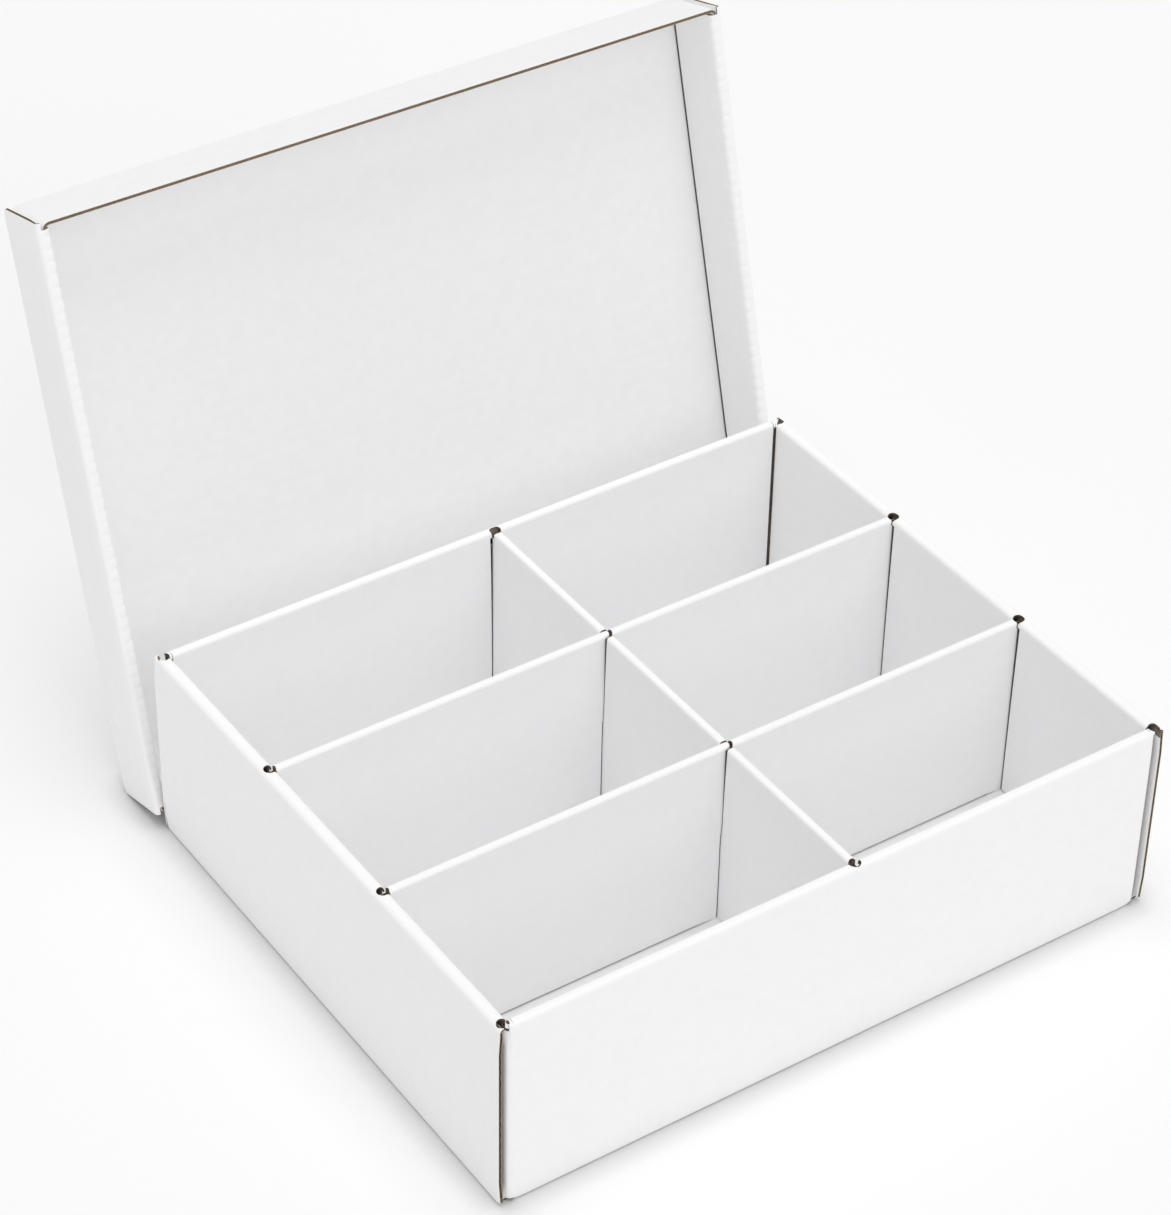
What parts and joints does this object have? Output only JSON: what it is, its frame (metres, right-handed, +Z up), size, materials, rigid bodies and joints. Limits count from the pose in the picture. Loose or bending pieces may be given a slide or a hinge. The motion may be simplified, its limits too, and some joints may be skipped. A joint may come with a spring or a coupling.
{
  "type": "trading card storage box",
  "caption": "Open tray of white corrugated card with rolled double walls and slotted dividers that make card compartments, and a lift-off lid that stands behind it.",
  "frame": {"origin": "middle of the tray's underside", "axes": "+X along the tray's long side, +Y to the rear where the lid stands, +Z up"},
  "size_m": [0.3724, 0.4063, 0.2982],
  "materials": {
    "white_card": "matte"
  },
  "bodies": {
    "root": {"base_tray": "white_card", "centre_divider": "white_card", "front_row_divider": "white_card", "rear_row_divider": "white_card", "lid": "white_card"}
  },
  "joints": []
}
